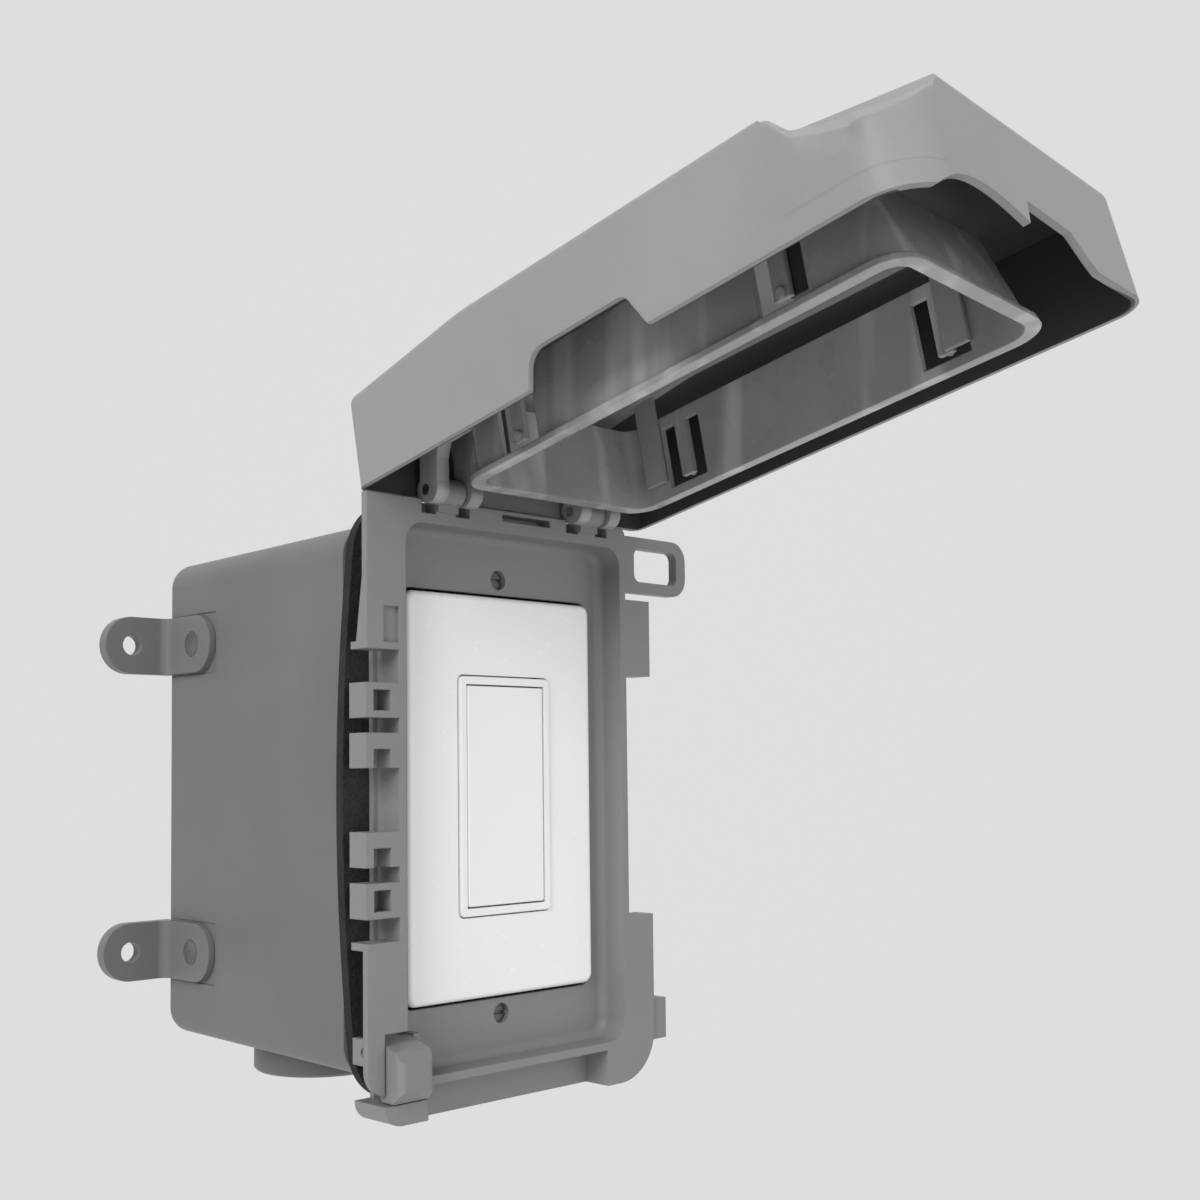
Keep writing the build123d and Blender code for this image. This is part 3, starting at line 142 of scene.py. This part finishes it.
# Feet and their screws. Four bent lugs of the same plastic, a little darker, each held to
# a flat on the box's side by one zinc-plated screw.
foot_grey = moulded_plastic("foot_plastic_smooth", 0.17, 0.36, grain=0.00004, grain_scale=900.0)
feet = [f"foot_{height}_{side}" for height in ("top", "bottom") for side in ("left", "right")]
coat_nodes(foot_grey, *feet)


def plated_metal(name, tone, rough=0.3, line_scale=900.0):
    """Plated or drawn metal: fine lines from stretched noise change its roughness, and
    slow noise dulls the plating in patches."""
    material, shader, place = finish(name, Metallic=1.0)
    stretched = place.node("Mapping", Vector=place, Scale=(1.0, 0.12, 1.0))
    lines = place.node("TexNoise", Vector=stretched, Scale=line_scale, Detail=3.0)
    patches = place.node("TexNoise", Vector=place, Scale=180.0, Detail=3.0)
    dull = patches.between(0.35, 0.75)
    fading = (0.18, 0.2, 0.22)
    feed_colour(shader, *((1.0 - dull * loss) * level for loss, level in zip(fading, tone)))
    feed(shader, "Roughness", lines * 0.16 + dull * 0.12 + (rough - 0.1))
    bump = place.node("Bump", Strength=0.3, Distance=0.00003, Height=lines)
    feed(shader, "Normal", bump)
    return material


zinc = plated_metal("zinc_plate", (0.62, 0.62, 0.61))
coat_nodes(zinc, "foot_screws")

# Gasket. A die-cut ring of black closed-cell foam, squeezed between the box and the cover
# base so that its long sides bow out.
foam, foam_shader, foam_place = finish("gasket_foam", IOR=1.4)
cells = foam_place.node("TexVoronoi", {"feature": "F1"}, Vector=foam_place, Scale=900.0)
dust = foam_place.node("TexNoise", Vector=foam_place, Scale=120.0, Detail=4.0)
foam_level = dust.between(0.4, 0.8) * 0.012 + cells.between(0.0, 0.7) * 0.008 + 0.012
feed_colour(foam_shader, foam_level, foam_level, foam_level)
feed(foam_shader, "Roughness", dust * 0.15 + 0.75)
feed(foam_shader, "Normal", foam_place.node("Bump", Strength=0.7, Distance=0.00025, Height=cells))
coat_nodes(foam, "cover_gasket")

# Cover base. The moulded tray that the lid hinges on, with its rim, wings, spare side
# knuckles and padlock loop. Two dark screws sunk in cups hold it to the box.
cover_grey = moulded_plastic(
    "cover_plastic_satin", 0.235, 0.36, grain=0.00004, grain_scale=1100.0
)
coat_nodes(cover_grey, "cover_base")
blacked = plated_metal("screw_black_oxide", (0.16, 0.16, 0.16), rough=0.4)
coat_nodes(blacked, "cover_screws")

# Inner lid frame, hinge pins and hood. The sleeve is smooth dark plastic and swings on two
# steel pins. The hood is a paler satin shell that slides out on the sleeve.
hinge_y, hinge_z = -111.9, 83.5  # mm, the pins' axis
open_angle = math.radians(101.3)  # how far the lid has turned from shut
sleeve_tilt = 0.197  # radians that the open lid stands past level
tip_lean = 0.08  # how much nearer the hinge the tip wall is for each unit out
fade = 0.0001  # m, half of the step over which a mask changes
hollow_half, hollow_near, hollow_far = 0.0526, -0.0045, 0.1695  # m, inside the hood
inner_corners = ((-1.0, 0.04, 0.15924, 0.0131), (1.0, 0.0445, 0.15767, 0.0086))


def streaked_plastic(name, grey):
    """Smoky glossy plastic under a clear coat: pale streaks run across the sleeve's
    walls, from noise stretched along the lid's outward direction, over slow clouds."""
    material, shader, place = finish(name, IOR=1.46, Coat_Weight=0.35, Coat_Roughness=0.12)
    turned = {"Rotation": (sleeve_tilt, 0.0, 0.0), "Scale": (1.0, 1.0, 0.1)}
    upright = place.node("Mapping", Vector=place, **turned)
    streaks = place.node("TexNoise", Vector=upright, Scale=95.0, Detail=2.0, Roughness=0.4)
    clouds = place.node("TexNoise", Vector=place, Scale=35.0, Detail=3.0)
    pale = streaks.between(0.52, 0.66)
    drift = clouds.between(0.3, 0.7)
    level = (pale * 0.45 + drift * 0.25 + 0.7) * grey
    feed_colour(shader, level, level, level)
    feed(shader, "Roughness", drift * 0.1 + 0.22)
    soft_edge = place.node("Bevel", {"samples": 6}, Radius=0.0006)
    bump = place.node("Bump", Strength=0.15, Distance=0.0001, Height=clouds, Normal=soft_edge)
    feed(shader, "Normal", bump)
    return material


frame_grey = streaked_plastic("inner_frame_smoky", 0.36)
coat_nodes(frame_grey, "lid_frame")
pin_steel = plated_metal("pin_steel", (0.55, 0.55, 0.56), rough=0.26)
coat_nodes(pin_steel, "hinge_pins", "latch_pin")
hood_grey = moulded_plastic(
    "hood_plastic_satin", 0.29, 0.34, grain=0.00003, grain_scale=1300.0, cloud=0.08, shine=0.12
)
coat_nodes(hood_grey, "lid_hood")


def lid_place(place):
    """Object coordinates turned to the open lid's, in metres from the hinge pins: x across,
    a along the lid and o out from its mouth."""
    split = place.node("SeparateXYZ", Vector=place).socket.node
    x, y, z = (Wire(place.tree, split.outputs[axis]) for axis in "XYZ")
    y = y - hinge_y / 1000.0
    z = z - hinge_z / 1000.0
    a = y * -math.sin(open_angle) - z * math.cos(open_angle)
    o = y * -math.cos(open_angle) + z * math.sin(open_angle)
    return x, a, o


def within_corner(x, a, o, side, centre, end, radius):
    """1 within a quarter circle of this radius about |x| = centre, a = end - 0.08 o, and on
    the hinge's side of it or nearer the lid's middle line; 0 beyond the circle."""
    across = (x * side - centre).maths("MAXIMUM", 0.0)
    beyond = (a + o * tip_lean - end).maths("MAXIMUM", 0.0)
    distance = (across * across + beyond * beyond).maths("SQRT")
    return 1.0 - distance.between(radius - fade, radius + fade)


def paint_hollow_shade(material, shade):
    """Paints shade into the base colour: a mask that is 1 in the hood's hollow turns the grey
    down, standing in for the shadow inside the hood. The mask is a product of terms that are
    1 there: |x| < 52.6 mm, a between the end walls, o under the crown min(24.7 + 0.0975 a,
    29.4 - 0.0125 a), x past the finger grip's flat -53.7 + 0.89 (o - low(a)), and within
    both round tip corners. The roof over the sleeve's right half keeps the hood's grey."""
    tree = material.node_tree
    coordinates = next(node for node in tree.nodes if node.type == "TEX_COORD")
    place = Wire(tree, coordinates.outputs["Object"])
    x, a, o = lid_place(place)
    side = 1.0 - x.maths("ABSOLUTE").between(hollow_half - fade, hollow_half + fade)
    slanted = a + x * 0.072 + o * tip_lean
    near_end = a.between(hollow_near, hollow_near + 2 * fade)
    far_end = 1.0 - slanted.between(hollow_far - 2 * fade, hollow_far)
    crown = (a * 0.0975 + 0.0247).maths("MINIMUM", a * -0.0125 + 0.0294)
    under = 1.0 - (o - crown).between(-2 * fade, 0.0)
    low = 0.0157 - (a - 0.1405) * 0.361
    beside = (x - (o - low) * 0.89).between(-0.0538, -0.0536)
    grip = 1.0 - a.between(0.1391, 0.1393) * (1.0 - beside)
    right_half = x.between(-0.0202, -0.02) * (1.0 - x.between(0.0321, 0.0325))
    over_sleeve = right_half * (1.0 - a.between(0.132, 0.134))
    mask = side * near_end * far_end * under * grip * (1.0 - over_sleeve)
    for corner in inner_corners:
        mask = mask * within_corner(x, a, o, *corner)
    shader = tree.nodes["Principled BSDF"]
    colour = Wire(tree, shader.inputs["Base Color"].links[0].from_socket)
    dim = {"Fac": mask, "Color1": colour, "Color2": (shade, shade, shade, 1.0)}
    feed(shader, "Base Color", place.node("MixRGB", {"blend_type": "MULTIPLY"}, **dim))


# Painted shade: the hood's base colour inside its hollow is turned down to 0.2 of its grey,
# standing in for the shadow that falls there.
paint_hollow_shade(hood_grey, 0.2)

# Finger grip. At the hood's left far corner the wall dips in one curve and the top slopes
# down to it, so that a finger gets hold of the lid. It is moulded in one with the hood.
corner_x, corner_a, corner_radius = -40.0, 159.24, 14.0  # mm, the outer corner's quarter turn
skin_gap = 0.03  # mm that the grip's skin stands off the hood
tip_turn = 0.0718  # radians that the tip wall is turned from square
quarter = math.pi / 2 - tip_turn
grip_start, grip_turn, grip_end = -17.5, -13.0, 35.0  # mm along the wall
grip_foot, edge_height, dip = 4.8, 27.4, 10.9  # mm out from the mouth
scoop_depth, edge_radius = 2.4, 1.6


def ease(value, start, end):
    """A smooth step: 0 up to start, 1 from end on, and 3w^2 - 2w^3 between them."""
    w = np.clip((value - start) / (end - start), 0.0, 1.0)
    return w * w * (3.0 - 2.0 * w)


def corner_edge(t):
    """Height of the wall's edge, t mm along the wall: it dips steeply at the grip's start, is
    lowest at t = 6 and comes back by t = 34."""
    left = 0.64 * ease(t, -16.5, -9.5) + 0.36 * ease(t, -12.0, 6.0)
    return edge_height - dip * left * (1.0 - ease(t, 6.0, 34.0))


def corner_wall(t, o, inward):
    """Plan place of the wall, t mm along it and o mm out: the straight side wall, a quarter
    turn from t = 0, then the tip wall, which slants by 0.0718 and leans by 0.08."""
    turn = np.clip(t / corner_radius, 0.0, quarter)
    beyond = np.maximum(t - corner_radius * quarter, 0.0)
    radius = corner_radius + skin_gap - inward
    x = corner_x - radius * np.cos(turn) + math.cos(tip_turn) * beyond
    before = corner_a - tip_lean * o + np.minimum(t, 0.0)
    return x, before + radius * np.sin(turn) - tip_turn * beyond


def grid_piece(name, x, y, z):
    """A smooth surface through a grid of places, with one four-sided face to each cell."""
    columns, rows = x.shape
    points = np.stack([x, y, z], axis=-1).reshape(-1, 3)
    first = (np.arange(columns - 1)[:, None] * rows + np.arange(rows - 1)).ravel()
    faces = np.stack([first, first + rows, first + rows + 1, first + 1], axis=-1)
    mesh = bpy.data.meshes.new(name)
    mesh.from_pydata(points.tolist(), [], faces.tolist())
    mesh.polygons.foreach_set("use_smooth", [True] * len(faces))
    piece = bpy.data.objects.new(name, mesh)
    bpy.context.scene.collection.objects.link(piece)
    return piece


def hood_corner():
    """The grip's skin, laid over the hood: the wall up to its edge, with a shallow scoop
    d = 2.4 bell(t) ease(o) and a rounded edge, then straight lines from the edge to a curve
    on the crown, which rise most of the way in their first three quarters."""
    along = np.linspace(grip_start, grip_end, 85)
    t, v = np.meshgrid(along, np.linspace(0.0, 1.0, 33), indexing="ij")
    edge = corner_edge(t)
    o = grip_foot + (edge - grip_foot) * v
    bell = ease(t, -11.0, -4.0) * (1.0 - ease(t, 0.0, 5.5))
    scoop = scoop_depth * bell * ease(o - edge, -7.5, -0.5)
    over = np.clip(o - edge + edge_radius, 0.0, edge_radius)
    x, a = corner_wall(t, o, scoop + edge_radius - np.sqrt(edge_radius**2 - over**2))
    after = np.clip((along[:, None] - grip_turn) / (grip_end - grip_turn), 0.0, 1.0)
    crown_x = -50.0 + ease(along[:, None], grip_start, grip_turn) * 9.5 + after * 13.5
    crown_a = 139.6 + after * 28.0
    crown_o = 29.65 - 0.012 * (crown_a - 43.0)
    w = np.linspace(0.0, 1.0, 15)[None, 1:]
    rise = np.interp(w, [0.0, 0.78, 0.9, 1.0], [0.0, 0.94, 1.0, 1.0])
    x = np.hstack([x, x[:, -1:] + (crown_x - x[:, -1:]) * w])
    a = np.hstack([a, a[:, -1:] + (crown_a - a[:, -1:]) * w])
    o = np.hstack([o, o[:, -1:] + (crown_o - o[:, -1:]) * rise])
    y = hinge_y - math.sin(open_angle) * a - math.cos(open_angle) * o
    z = hinge_z - math.cos(open_angle) * a + math.sin(open_angle) * o
    piece = grid_piece("hood_corner", x / 1000.0, y / 1000.0, z / 1000.0)
    piece.data.materials.append(hood_grey)
    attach(piece, "hood")


hood_corner()

# Corner latch. A small moulded lever in the lower left corner, on its own cross pin, a
# touch paler and smoother than the cover base.
latch_grey = moulded_plastic("latch_plastic", 0.23, 0.32, grain=0.00003, grain_scale=900.0)
coat_nodes(latch_grey, "corner_latch")

# Switch works. The stamped steel strap, the dark phenolic body and the brass terminals and
# contacts stand behind the plate, held to the box by two machine screws.
strap_steel = plated_metal("strap_steel", (0.66, 0.66, 0.64), rough=0.34, line_scale=500.0)
coat_nodes(strap_steel, "switch_strap", "device_screws", "plate_screws")
brass = plated_metal("contact_brass", (0.80, 0.60, 0.30), rough=0.3)
coat_nodes(brass, "line_terminal", "load_terminal", "terminal_screws")
coat_nodes(brass, "contact_lever", "fixed_contacts")
green_steel = plated_metal("ground_screw_green", (0.12, 0.40, 0.18), rough=0.4)
coat_nodes(green_steel, "ground_screw")
body_black = moulded_plastic(
    "switch_body_phenolic", 0.06, 0.45, grain=0.00005, grain_scale=1200.0
)
coat_nodes(body_black, "switch_body")


# Wall plate, face frame and paddle. White glossy plastic with a very shallow ripple left by
# moulding. The plate snaps over its mounting plate, and the paddle rocks in the face frame.
def white_plastic(name, grey, rough):
    """Bright gloss plastic: nearly even colour, with a slow ripple and faint handling marks."""
    material, shader, place = finish(name, IOR=1.5)
    ripple = place.node("TexNoise", Vector=place, Scale=60.0, Detail=2.0)
    marks = place.node("TexNoise", Vector=place, Scale=240.0, Detail=5.0, Roughness=0.7)
    mark = marks.between(0.55, 0.8)
    level = (ripple * 0.02 - mark * 0.012 + 0.99) * grey
    feed_colour(shader, level, level, level)
    feed(shader, "Roughness", mark * 0.1 + ripple * 0.04 + (rough - 0.02))
    feed(shader, "Normal", place.node("Bump", Strength=0.2, Distance=0.0001, Height=ripple))
    return material


plate_white = white_plastic("plate_white_gloss", 0.9, 0.24)
paddle_white = white_plastic("paddle_white_gloss", 0.9, 0.2)
mount_white = white_plastic("mounting_plate_white", 0.78, 0.4)
coat_nodes(plate_white, "wall_plate")
coat_nodes(paddle_white, "rocker_paddle", "switch_frame")
coat_nodes(mount_white, "plate_frame")

# Backdrop and light. A pale sweep stands well behind and below, square to the camera, and
# soft lamps light the object from the left, from above and weakly from the front.
def backdrop(heading, below):
    """A sweep turned to a heading about Z: u runs across, v goes along the floor at a depth
    below the object, round a quarter circle of radius 1 m and up."""
    across = np.linspace(-6.0, 6.0, 9)
    turn = np.linspace(0.0, math.pi / 2, 13)
    depth = np.concatenate([[-4.0], 1.2 + np.sin(turn), [2.2]])
    height = np.concatenate([[0.0], 1.0 - np.cos(turn), [6.0]])
    u, v = np.meshgrid(across, np.arange(len(depth)), indexing="ij")
    x = u * math.cos(heading) - depth[v] * math.sin(heading)
    y = u * math.sin(heading) + depth[v] * math.cos(heading)
    return grid_piece("sweep", x, y, height[v] - below)


sweep = backdrop(-0.78, 0.45)
paper, paper_shader, paper_place = finish(
    "sweep_paper", Base_Color=(0.74, 0.74, 0.74, 1.0), Roughness=0.9
)
camera_ray = paper_place.node("LightPath", out="Is Camera Ray")
glossy_ray = paper_place.node("LightPath", out="Is Glossy Ray")
straight = camera_ray.maths("MAXIMUM", glossy_ray)
glow = paper_place.node("Emission", Color=(0.745, 0.745, 0.745, 1.0))
lit = Wire(paper.node_tree, paper_shader.outputs[0])
mixed = paper_place.node("MixShader", i0=straight * 0.74 + 0.18, i1=lit, i2=glow)
feed(paper.node_tree.nodes["Material Output"], "Surface", mixed)
sweep.data.materials.append(paper)


def lamp(name, spot, size, power):
    """A square area lamp at a spot, turned towards the cover."""
    data = bpy.data.lights.new(name, "AREA")
    data.size = size
    data.energy = power
    holder = bpy.data.objects.new(name, data)
    bpy.context.scene.collection.objects.link(holder)
    holder.location = spot
    aim = Vector((0.0, -0.1, 0.0)) - Vector(spot)
    holder.rotation_euler = aim.to_track_quat("-Z", "Y").to_euler()


lamp("key", (-1.9, -0.7, 1.1), 1.2, 33.0)
lamp("fill", (0.2, -2.0, 0.2), 1.8, 12.0)
lamp("top", (0.2, -0.2, 1.9), 1.2, 8.0)

world = bpy.data.worlds.new("room")
bpy.context.scene.world = world
world.use_nodes = True
sky = world.node_tree.nodes["Background"]
sky.inputs["Color"].default_value = (0.75, 0.75, 0.75, 1.0)
sky.inputs["Strength"].default_value = 0.62

# Camera. It stands low on the left, where the photograph's perspective puts it.
yaw, pitch, roll = -0.78147, 0.05587, -0.01157
stand = (-0.2875, -0.4322, 0.0070)
frame_side, focal_length, centre_x, centre_y = 1200.0, 1506.8, 598.7, 685.3  # pixels
level_ahead = Vector((-math.sin(yaw), math.cos(yaw), 0.0))
ahead = level_ahead * math.cos(pitch) + Vector((0.0, 0.0, math.sin(pitch)))
level_right = Vector((math.cos(yaw), math.sin(yaw), 0.0))
level_up = level_right.cross(ahead)
right = level_right * math.cos(roll) + level_up * math.sin(roll)
up = level_up * math.cos(roll) - level_right * math.sin(roll)
eye = bpy.data.cameras.new("eye")
eye.sensor_width = 36.0
eye.lens = eye.sensor_width * focal_length / frame_side
eye.shift_x = (frame_side / 2 - centre_x) / frame_side
eye.shift_y = (centre_y - frame_side / 2) / frame_side
eye.clip_start = 0.01
camera = bpy.data.objects.new("eye", eye)
bpy.context.scene.collection.objects.link(camera)
turned = Matrix((right, up, -ahead)).transposed().to_4x4()
camera.matrix_world = Matrix.Translation(stand) @ turned
bpy.context.scene.camera = camera
bpy.context.scene.view_settings.view_transform = "Standard"
